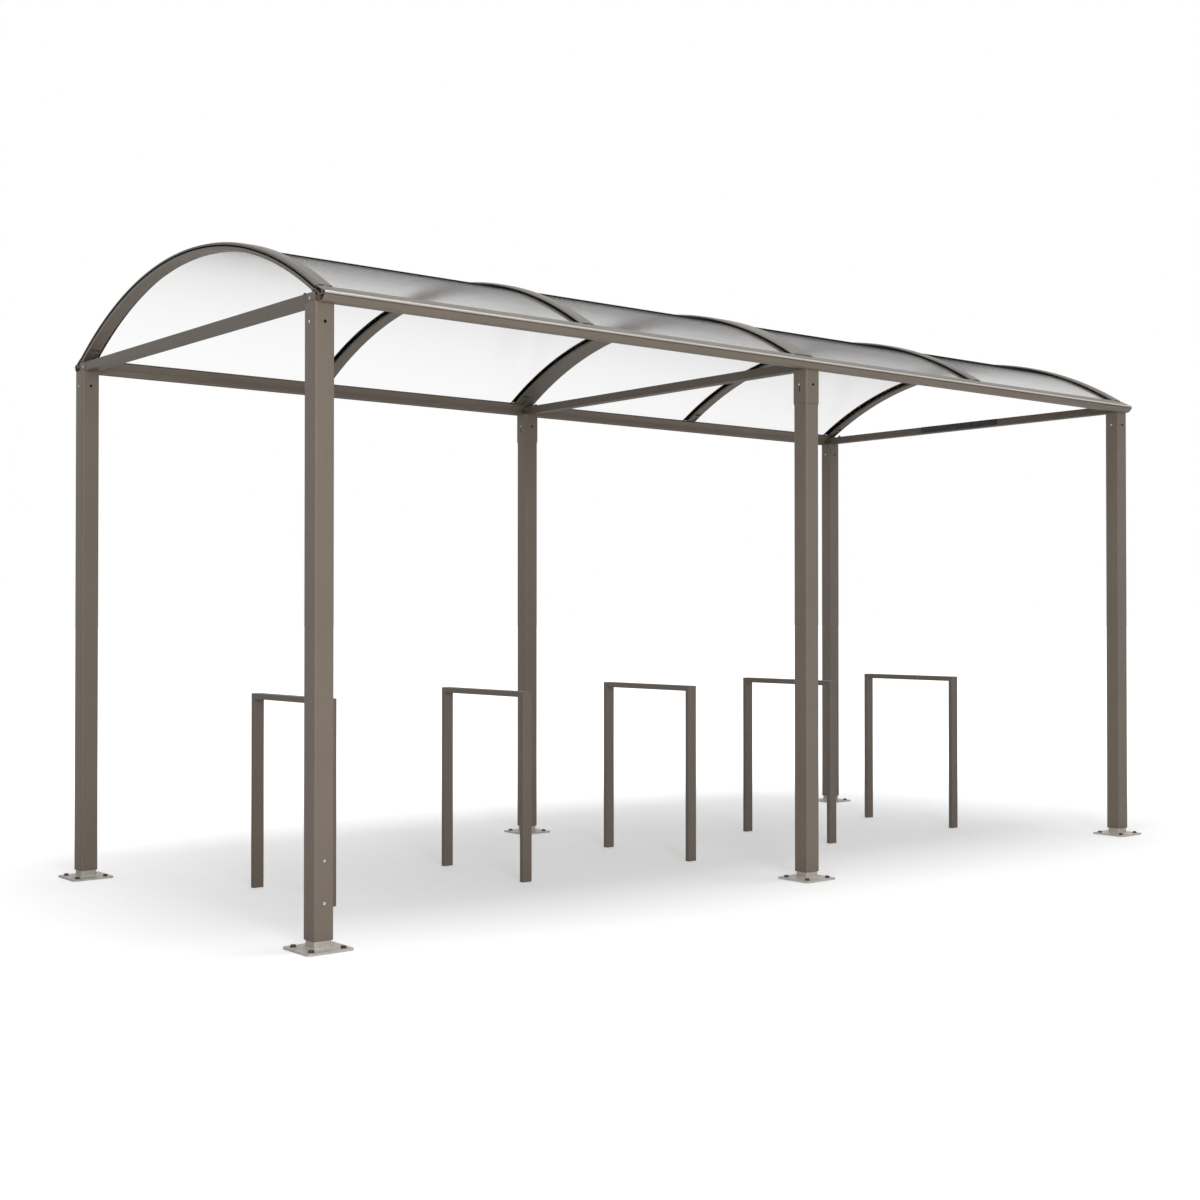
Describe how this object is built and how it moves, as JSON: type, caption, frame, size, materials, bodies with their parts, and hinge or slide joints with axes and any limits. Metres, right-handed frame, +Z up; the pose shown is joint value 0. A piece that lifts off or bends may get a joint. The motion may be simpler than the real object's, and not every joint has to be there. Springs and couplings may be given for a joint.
{
  "type": "bike shelter",
  "caption": "Open-sided bike shelter: square posts on bolted plates, an arched clear roof on bent bars, and upside-down U bike stands in a row beneath it.",
  "frame": {"origin": "on the ground, in the middle of the shelter's plan", "axes": "+X along the shelter to its right-hand end, +Y to the rear, +Z up"},
  "size_m": [5.138, 2.3, 2.677],
  "materials": {
    "post_steel": "satin powder coat",
    "stand_steel": "satin powder coat",
    "beam_aluminium": "satin powder coat",
    "cover_aluminium": "satin powder coat",
    "galvanised_steel": "dull zinc",
    "clear_sheet": "clear polycarbonate",
    "black_plate": "matt black"
  },
  "bodies": {
    "root": {"post_front_left": "post_steel", "foot_front_left": "galvanised_steel", "post_front_middle": "post_steel", "foot_front_middle": "galvanised_steel", "post_front_right": "post_steel", "foot_front_right": "galvanised_steel", "collar_front_middle": "post_steel", "eaves_beam_front_left": "beam_aluminium", "eaves_clip_front_left": "beam_aluminium", "eaves_beam_front_right": "beam_aluminium", "eaves_clip_front_right": "beam_aluminium", "post_rear_left": "post_steel", "foot_rear_left": "galvanised_steel", "post_rear_middle": "post_steel", "foot_rear_middle": "galvanised_steel", "post_rear_right": "post_steel", "foot_rear_right": "galvanised_steel", "collar_rear_middle": "post_steel", "eaves_beam_rear_left": "beam_aluminium", "eaves_clip_rear_left": "beam_aluminium", "eaves_beam_rear_right": "beam_aluminium", "eaves_clip_rear_right": "beam_aluminium", "cross_beam_left": "post_steel", "cross_beam_middle": "post_steel", "cross_beam_right": "post_steel", "blank_plate": "black_plate", "beam_end_plates": "beam_aluminium", "arch_brackets": "beam_aluminium", "arch_1": "beam_aluminium", "arch_cover_1": "cover_aluminium", "arch_2": "beam_aluminium", "arch_cover_2": "cover_aluminium", "arch_3": "beam_aluminium", "arch_cover_3": "cover_aluminium", "arch_4": "beam_aluminium", "arch_cover_4": "cover_aluminium", "arch_5": "beam_aluminium", "arch_cover_5": "cover_aluminium", "roof_sheet_1": "clear_sheet", "roof_sheet_2": "clear_sheet", "roof_sheet_3": "clear_sheet", "roof_sheet_4": "clear_sheet", "bike_stand_1": "stand_steel", "bike_stand_2": "stand_steel", "bike_stand_3": "stand_steel", "bike_stand_4": "stand_steel", "bike_stand_5": "stand_steel"}
  },
  "joints": []
}
